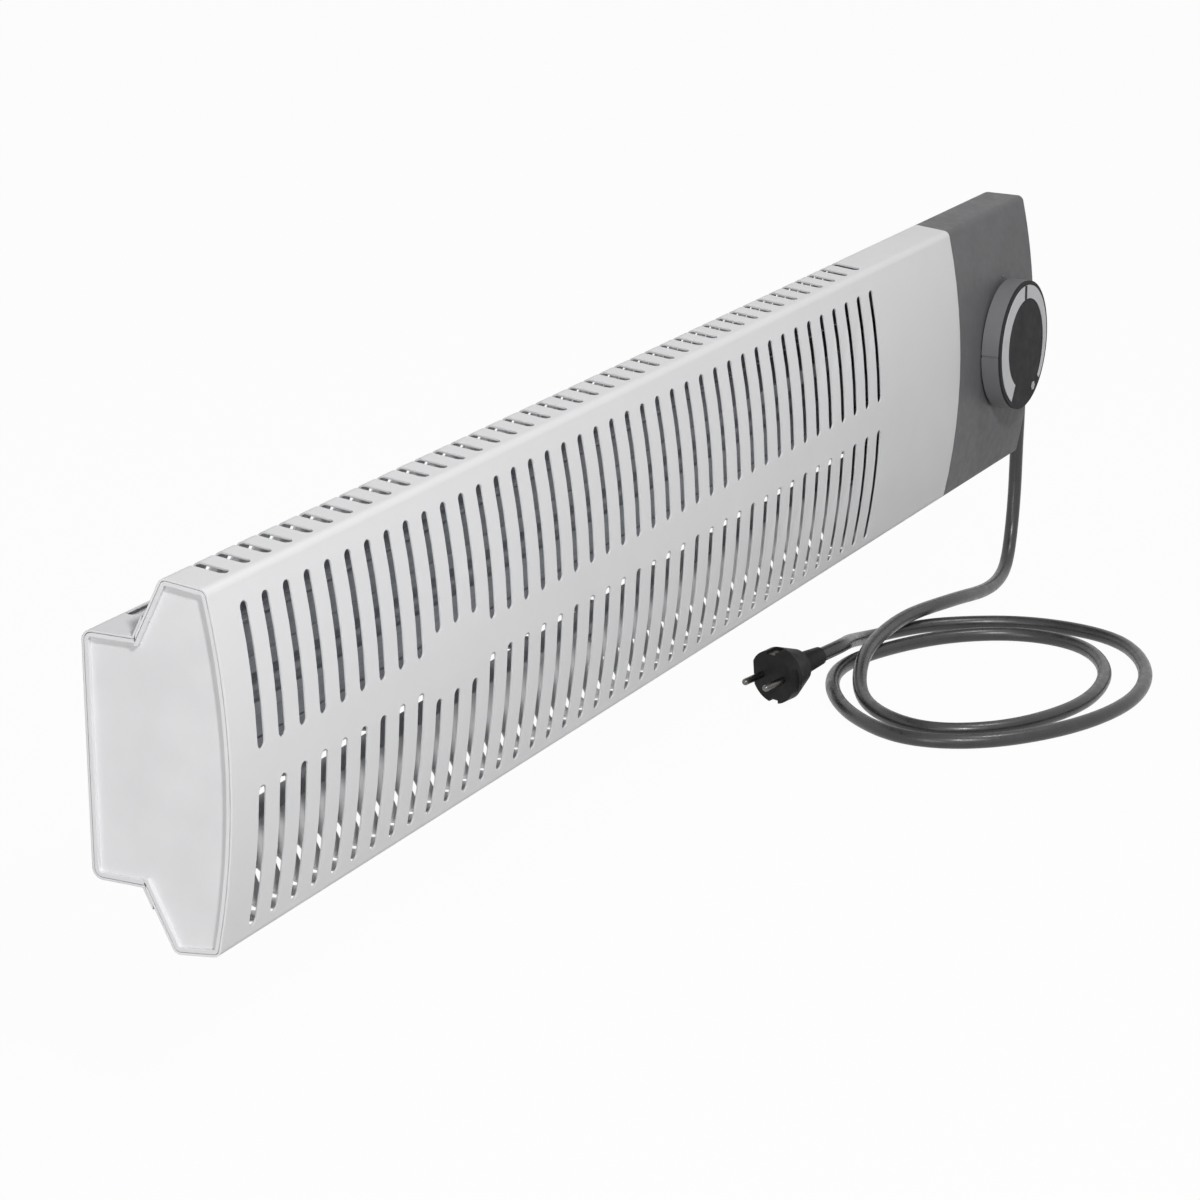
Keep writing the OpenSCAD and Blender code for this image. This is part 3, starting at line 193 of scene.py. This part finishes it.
def make_scale_tick():
    """A thin bar on the front of the scale, over the gap straight above the knob's axis."""
    low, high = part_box("scale_ring")
    x, top, y = (low[0] + high[0]) / 2, high[2], low[1]
    half, corner = TICK_W / 2, TICK_CORNER
    side = [(half, 0), (half, TICK_L - corner), (half - corner, TICK_L)]
    outline = side + [(-a, b) for a, b in reversed(side)]
    count = len(outline)
    points = [(x + a, y - t, top - b) for t in (0, TICK_T) for a, b in outline]
    faces = [list(range(count)), list(range(2 * count - 1, count - 1, -1))]
    faces += [[i, i + count, (i + 1) % count + count, (i + 1) % count] for i in range(count)]
    mesh = bpy.data.meshes.new("scale_tick")
    mesh.from_pydata(points, [], faces)
    tick = bpy.data.objects.new("scale_tick", mesh)
    bpy.context.scene.collection.objects.link(tick)
    mesh.materials.append(finishes["knob_face_plastic"])
    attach(tick, "knob")


# Materials: each one is a Principled shader with its own colour drift, roughness and relief

BEVEL_SAMPLES = 6
SPANGLE = 7 * MM
ZINC_ROUGH = 0.38
STRIPE_SCALE = 90
STRIPE_WANDER = 0.4


def linear(shade):
    """A colour as it looks on screen, 0 to 1, to the shader's linear values."""
    return [((c + 0.055) / 1.055) ** 2.4 if c > 0.04045 else c / 12.92 for c in shade] + [1]


class Finish:
    """One material under construction; a pattern's size is in metres."""

    def __init__(self, name):
        self.material = bpy.data.materials.new(name)
        self.material.use_nodes = True
        self.tree = self.material.node_tree
        self.tree.nodes.clear()
        self.shader = self.add("ShaderNodeBsdfPrincipled")
        output = self.add("ShaderNodeOutputMaterial")
        self.link(self.shader.outputs[0], output.inputs[0])
        self.place = self.add("ShaderNodeTexCoord").outputs["Object"]
        self.normal = None

    def add(self, kind):
        return self.tree.nodes.new(kind)

    def link(self, a, b):
        self.tree.links.new(a, b)

    def set(self, **values):
        for name, value in values.items():
            self.shader.inputs[name.replace("_", " ")].default_value = value
        return self

    def stretched(self, stretch):
        """Places squeezed along each axis, so that a pattern runs long along the others."""
        mapping = self.add("ShaderNodeMapping")
        mapping.inputs["Scale"].default_value = stretch
        self.link(self.place, mapping.inputs["Vector"])
        return mapping.outputs[0]

    def noise(self, size, detail=3, stretch=(1, 1, 1)):
        texture = self.add("ShaderNodeTexNoise")
        texture.inputs["Scale"].default_value = 1 / size
        texture.inputs["Detail"].default_value = detail
        self.link(self.stretched(stretch), texture.inputs["Vector"])
        return texture.outputs["Fac"]

    def cells(self, size):
        texture = self.add("ShaderNodeTexVoronoi")
        texture.inputs["Scale"].default_value = 1 / size
        self.link(self.place, texture.inputs["Vector"])
        return texture.outputs["Color"]

    def ranged(self, value, low, high, start=0.3, end=0.7):
        node = self.add("ShaderNodeMapRange")
        limits = {"From Min": start, "From Max": end, "To Min": low, "To Max": high}
        for name, number in limits.items():
            node.inputs[name].default_value = number
        self.link(value, node.inputs["Value"])
        return node.outputs[0]

    def colours(self, value, dark, light, start=0.3, end=0.7):
        ramp = self.add("ShaderNodeValToRGB")
        ramp.color_ramp.elements[0].position = start
        ramp.color_ramp.elements[0].color = linear(dark)
        ramp.color_ramp.elements[1].position = end
        ramp.color_ramp.elements[1].color = linear(light)
        self.link(value, ramp.inputs["Fac"])
        self.link(ramp.outputs[0], self.shader.inputs["Base Color"])
        return self

    def rough(self, value, low, high):
        self.link(self.ranged(value, low, high), self.shader.inputs["Roughness"])
        return self

    def soft_edges(self, radius):
        node = self.add("ShaderNodeBevel")
        node.samples = BEVEL_SAMPLES
        node.inputs["Radius"].default_value = radius
        self.normal = node.outputs[0]
        self.link(self.normal, self.shader.inputs["Normal"])
        return self

    def relief(self, value, height, strength):
        node = self.add("ShaderNodeBump")
        node.inputs["Strength"].default_value = strength
        node.inputs["Distance"].default_value = height
        self.link(value, node.inputs["Height"])
        if self.normal:
            self.link(self.normal, node.inputs["Normal"])
        self.normal = node.outputs[0]
        self.link(self.normal, self.shader.inputs["Normal"])
        return self


def drift(colour, amount):
    """The darker and lighter ends of a colour's drift."""
    return [c - amount for c in colour], [c + amount for c in colour]


def enamel(name, colour):
    """Powder coat: a faint orange peel, a slow drift of tone and a soft gloss."""
    finish = Finish(name).set(Metallic=0.0, IOR=1.5, Specular_IOR_Level=0.3)
    finish.colours(finish.noise(140 * MM, 4), *drift(colour, 0.008))
    finish.rough(finish.noise(20 * MM, 4), 0.34, 0.46)
    finish.soft_edges(0.5 * MM)
    finish.relief(finish.noise(1.6 * MM, 2), 0.02 * MM, 0.5)
    return finish.material


def moulding(name, colour, rough=0.5, grain=0.5 * MM, depth=0.03 * MM, edge=0.4 * MM, gloss=0.5):
    """Moulded plastic: spark-eroded grain, with a slight drift of tone."""
    finish = Finish(name).set(Metallic=0.0, IOR=1.5, Specular_IOR_Level=gloss)
    finish.colours(finish.noise(30 * MM, 4), *drift(colour, 0.012))
    finish.rough(finish.noise(6 * MM, 3), rough - 0.06, rough + 0.06)
    finish.soft_edges(edge)
    finish.relief(finish.noise(grain, 3), depth, 0.6)
    return finish.material


def rubber(name, colour, rough=0.62, gloss=0.5, depth=0.03 * MM, edge=0.3 * MM):
    """Rubber or soft PVC, with a faint bloom and fine marks; a round lead has no edge to soften."""
    finish = Finish(name).set(Metallic=0.0, IOR=1.48, Specular_IOR_Level=gloss)
    finish.colours(finish.noise(12 * MM, 5), *drift(colour, 0.018))
    finish.rough(finish.noise(5 * MM, 3), rough - 0.08, rough + 0.08)
    if edge:
        finish.soft_edges(edge)
    finish.relief(finish.noise(0.9 * MM, 4), depth, 0.5)
    return finish.material


def sheet_metal(name, colour):
    """Zinc-plated sheet: faint spangle under fine rolling marks."""
    finish = Finish(name).set(Metallic=0.9, IOR=1.5)
    finish.colours(finish.cells(SPANGLE), *drift(colour, 0.05), 0.1, 0.9)
    finish.rough(finish.cells(SPANGLE), ZINC_ROUGH - 0.08, ZINC_ROUGH + 0.1)
    finish.soft_edges(0.3 * MM)
    finish.relief(finish.noise(0.5 * MM, 3, (0.04, 1, 1)), 0.01 * MM, 0.5)
    return finish.material


def drawn_metal(name, colour, rough=0.3, stretch=(0.05, 1, 1)):
    """Drawn, extruded or turned metal: fine lines along its run."""
    finish = Finish(name).set(Metallic=1.0, IOR=1.5)
    finish.colours(finish.noise(0.9 * MM, 4, stretch), *drift(colour, 0.035))
    finish.rough(finish.noise(4 * MM, 3, stretch), rough - 0.07, rough + 0.1)
    finish.soft_edges(0.2 * MM)
    finish.relief(finish.noise(0.4 * MM, 3, stretch), 0.01 * MM, 0.6)
    return finish.material


def ceramic(name, colour):
    """Glazed ceramic with small specks."""
    finish = Finish(name).set(Metallic=0.0, IOR=1.55, Coat_Weight=0.5, Coat_Roughness=0.08)
    finish.colours(finish.noise(0.7 * MM, 2), *drift(colour, 0.02), 0.25, 0.5)
    finish.rough(finish.noise(3 * MM, 3), 0.2, 0.34)
    finish.soft_edges(0.4 * MM)
    finish.relief(finish.noise(2 * MM, 2), 0.03 * MM, 0.5)
    return finish.material


def striped_core(name, colour, stripe):
    """Two-colour insulation of the earth core."""
    finish = Finish(name).set(Metallic=0.0, IOR=1.5)
    wave = finish.add("ShaderNodeTexWave")
    wave.inputs["Scale"].default_value = STRIPE_SCALE
    wave.inputs["Distortion"].default_value = STRIPE_WANDER
    finish.link(finish.place, wave.inputs["Vector"])
    finish.colours(wave.outputs["Fac"], colour, stripe, 0.45, 0.55)
    finish.rough(finish.noise(3 * MM, 3), 0.36, 0.48)
    finish.relief(finish.noise(0.6 * MM, 3), 0.01 * MM, 0.5)
    return finish.material


# One finish for each material slot of the record

PRINT = {"grain": 0.4 * MM, "depth": 0.01 * MM, "edge": 0.1 * MM}
ALONG_Z = (1, 1, 0.1)
FINISHES = {
    "cover_enamel": (enamel, (0.885, 0.885, 0.89), {}),
    "rear_enamel": (enamel, (0.86, 0.86, 0.868), {}),
    "cap_plastic": (
        moulding, (0.862, 0.862, 0.868), {"rough": 0.46, "grain": 0.9 * MM, "depth": 0.015 * MM},
    ),
    "housing_plastic": (moulding, (0.405, 0.405, 0.413), {"rough": 0.48, "gloss": 0.16}),
    "zinc_sheet": (sheet_metal, (0.64, 0.65, 0.66), {}),
    "screw_steel": (drawn_metal, (0.66, 0.66, 0.68), {"stretch": ALONG_Z}),
    "knob_plastic": (moulding, (0.45, 0.45, 0.458), {"rough": 0.42, "gloss": 0.2}),
    "knob_face_plastic": (moulding, (0.21, 0.21, 0.217), {"rough": 0.6, "gloss": 0.06}),
    "scale_print": (moulding, (0.79, 0.79, 0.8), {"rough": 0.4, **PRINT}),
    "mark_print": (moulding, (0.74, 0.74, 0.75), {"rough": 0.36, **PRINT}),
    "spring_steel": (drawn_metal, (0.72, 0.73, 0.76), {"rough": 0.22}),
    "spindle_steel": (drawn_metal, (0.78, 0.78, 0.78), {"rough": 0.2, "stretch": (1, 0.05, 1)}),
    "bush_brass": (drawn_metal, (0.8, 0.72, 0.48), {"rough": 0.28, "stretch": (1, 3, 1)}),
    "nut_steel": (drawn_metal, (0.72, 0.72, 0.73), {"rough": 0.25, "stretch": (1, 0.2, 1)}),
    "thermostat_moulding": (moulding, (0.86, 0.83, 0.76), {"rough": 0.3}),
    "tab_brass": (drawn_metal, (0.84, 0.76, 0.45), {"stretch": ALONG_Z}),
    "index_print": (moulding, (0.44, 0.44, 0.448), {"rough": 0.48, "gloss": 0.25}),
    "copper_tube": (drawn_metal, (0.76, 0.5, 0.36), {"rough": 0.34}),
    "grommet_rubber": (rubber, (0.16, 0.16, 0.165), {}),
    "fin_aluminium": (drawn_metal, (0.66, 0.67, 0.69), {"rough": 0.36}),
    "rod_steel": (drawn_metal, (0.36, 0.35, 0.35), {"rough": 0.5}),
    "ceramic": (ceramic, (0.91, 0.9, 0.86), {}),
    "stud_steel": (drawn_metal, (0.74, 0.74, 0.76), {"rough": 0.26}),
    "bracket_steel": (sheet_metal, (0.68, 0.69, 0.7), {}),
    "rivet_aluminium": (drawn_metal, (0.72, 0.73, 0.74), {"rough": 0.34, "stretch": (1, 0.2, 1)}),
    "reflector_aluminium": (drawn_metal, (0.78, 0.79, 0.81), {"rough": 0.24}),
    "cutout_plastic": (moulding, (0.15, 0.15, 0.16), {}),
    "block_plastic": (moulding, (0.9, 0.9, 0.88), {"rough": 0.3}),
    "block_brass": (drawn_metal, (0.8, 0.74, 0.48), {"stretch": ALONG_Z}),
    "earth_brass": (drawn_metal, (0.8, 0.76, 0.55), {}),
    "brown_core": (rubber, (0.42, 0.26, 0.16), {"rough": 0.42}),
    "blue_core": (rubber, (0.2, 0.36, 0.66), {"rough": 0.42}),
    "earth_core": (striped_core, (0.3, 0.55, 0.22), {"stripe": (0.88, 0.82, 0.2)}),
    "gland_plastic": (moulding, (0.25, 0.25, 0.256), {}),
    "gland_nut_plastic": (moulding, (0.3, 0.3, 0.31), {}),
    "clamp_plastic": (moulding, (0.33, 0.33, 0.34), {}),
    "cord_sheath": (
        rubber, (0.19, 0.19, 0.196), {"rough": 0.33, "gloss": 0.6, "depth": 0.006 * MM, "edge": 0},
    ),
    "rail_steel": (sheet_metal, (0.7, 0.71, 0.72), {}),
    "spacer_rubber": (rubber, (0.2, 0.2, 0.205), {}),
    "plug_rubber": (
        rubber, (0.16, 0.16, 0.166), {"rough": 0.5, "gloss": 0.12, "depth": 0.015 * MM},
    ),
    "pin_nickel": (drawn_metal, (0.42, 0.415, 0.4), {"rough": 0.32}),
    "clip_nickel": (drawn_metal, (0.36, 0.35, 0.33), {"rough": 0.4}),
}


def make_finishes():
    return {name: kind(name, colour, **rest) for name, (kind, colour, rest) in FINISHES.items()}


def dress_nodes():
    """Gives each CAD node the finish of the slot that the record names for it."""
    for node in nodes.values():
        slots = [m.name.split(".")[0] for m in node.data.materials]
        for i, slot in enumerate(slots):
            node.data.materials[i] = finishes[slot]


# Studio: a pale floor, a soft key light from the upper left, a wide fill beyond the left end, a
# small lamp over the control end and a white surround

FLOOR_HALF = 6
FLOOR_GAP = 0.2 * MM
FLOOR_SHADE = 0.55          # what its matt surface gives back to the object
FLOOR_WHITE = 0.97          # how much of it shows plain white; the rest keeps the shadow
KEY_AT = Vector((-1.3, -1.3, 1.3))
KEY_AIM = Vector((0, -0.05, 0))
KEY_SIZE = 0.22
KEY_POWER = 28.6
FILL_AT = Vector((-2.8, -0.3, 0.3))
FILL_SIZE = 1.2
FILL_POWER = 22.3
TOP_AT = Vector((0.35, -0.6, 1.1))
TOP_SIZE = 0.1
TOP_POWER = 4.4
SKY = 0.12


def area_light(name, at, aim, size, power):
    data = bpy.data.lights.new(name, "AREA")
    data.shape = "DISK"
    data.size = size
    data.energy = power
    lamp = bpy.data.objects.new(name, data)
    lamp.location = at
    lamp.rotation_mode = "QUATERNION"
    lamp.rotation_quaternion = (aim - at).to_track_quat("-Z", "Y")
    bpy.context.scene.collection.objects.link(lamp)


def shown_rays(tree):
    """1 for the rays that should see the plain background: camera, glossy and transmission."""
    path = tree.nodes.new("ShaderNodeLightPath")
    total = path.outputs["Is Camera Ray"]
    for name in ("Is Glossy Ray", "Is Transmission Ray"):
        add = tree.nodes.new("ShaderNodeMath")
        add.operation = "MAXIMUM"
        tree.links.new(total, add.inputs[0])
        tree.links.new(path.outputs[name], add.inputs[1])
        total = add.outputs[0]
    return total


def make_world():
    world = bpy.data.worlds.new("studio")
    bpy.context.scene.world = world
    world.use_nodes = True
    tree = world.node_tree
    tree.nodes.clear()
    light = tree.nodes.new("ShaderNodeBackground")
    light.inputs["Strength"].default_value = SKY
    white = tree.nodes.new("ShaderNodeBackground")
    white.inputs["Color"].default_value = (1, 1, 1, 1)
    white.inputs["Strength"].default_value = 1
    light.inputs["Color"].default_value = (1, 1, 1, 1)
    mix = tree.nodes.new("ShaderNodeMixShader")
    output = tree.nodes.new("ShaderNodeOutputWorld")
    tree.links.new(shown_rays(tree), mix.inputs[0])
    tree.links.new(light.outputs[0], mix.inputs[1])
    tree.links.new(white.outputs[0], mix.inputs[2])
    tree.links.new(mix.outputs[0], output.inputs[0])


def make_floor():
    """A pale floor under the lead's loops; it shows white and keeps a faint shadow."""
    height = cad_box[0].z - FLOOR_GAP
    mesh = bpy.data.meshes.new("floor")
    half = FLOOR_HALF
    corners = [(-half, -half), (half, -half), (half, half), (-half, half)]
    mesh.from_pydata([(x, y, height) for x, y in corners], [], [(0, 1, 2, 3)])
    floor = bpy.data.objects.new("floor", mesh)
    bpy.context.scene.collection.objects.link(floor)
    material = bpy.data.materials.new("floor_white")
    material.use_nodes = True
    tree = material.node_tree
    tree.nodes.clear()
    matt = tree.nodes.new("ShaderNodeBsdfDiffuse")
    matt.inputs["Color"].default_value = (FLOOR_SHADE, FLOOR_SHADE, FLOOR_SHADE, 1)
    glow = tree.nodes.new("ShaderNodeEmission")
    glow.inputs["Strength"].default_value = 1
    mix = tree.nodes.new("ShaderNodeMixShader")
    dim = tree.nodes.new("ShaderNodeMath")
    dim.operation = "MULTIPLY"
    dim.inputs[1].default_value = FLOOR_WHITE
    output = tree.nodes.new("ShaderNodeOutputMaterial")
    tree.links.new(shown_rays(tree), dim.inputs[0])
    tree.links.new(dim.outputs[0], mix.inputs[0])
    tree.links.new(matt.outputs[0], mix.inputs[1])
    tree.links.new(glow.outputs[0], mix.inputs[2])
    tree.links.new(mix.outputs[0], output.inputs[0])
    floor.data.materials.append(material)


make_camera()
finishes = make_finishes()
make_lead()
make_scale_tick()
dress_nodes()
make_world()
make_floor()
area_light("key", KEY_AT, KEY_AIM, KEY_SIZE, KEY_POWER)
area_light("fill", FILL_AT, KEY_AIM, FILL_SIZE, FILL_POWER)
area_light("top", TOP_AT, KEY_AIM, TOP_SIZE, TOP_POWER)
bpy.context.scene.view_settings.view_transform = "Standard"
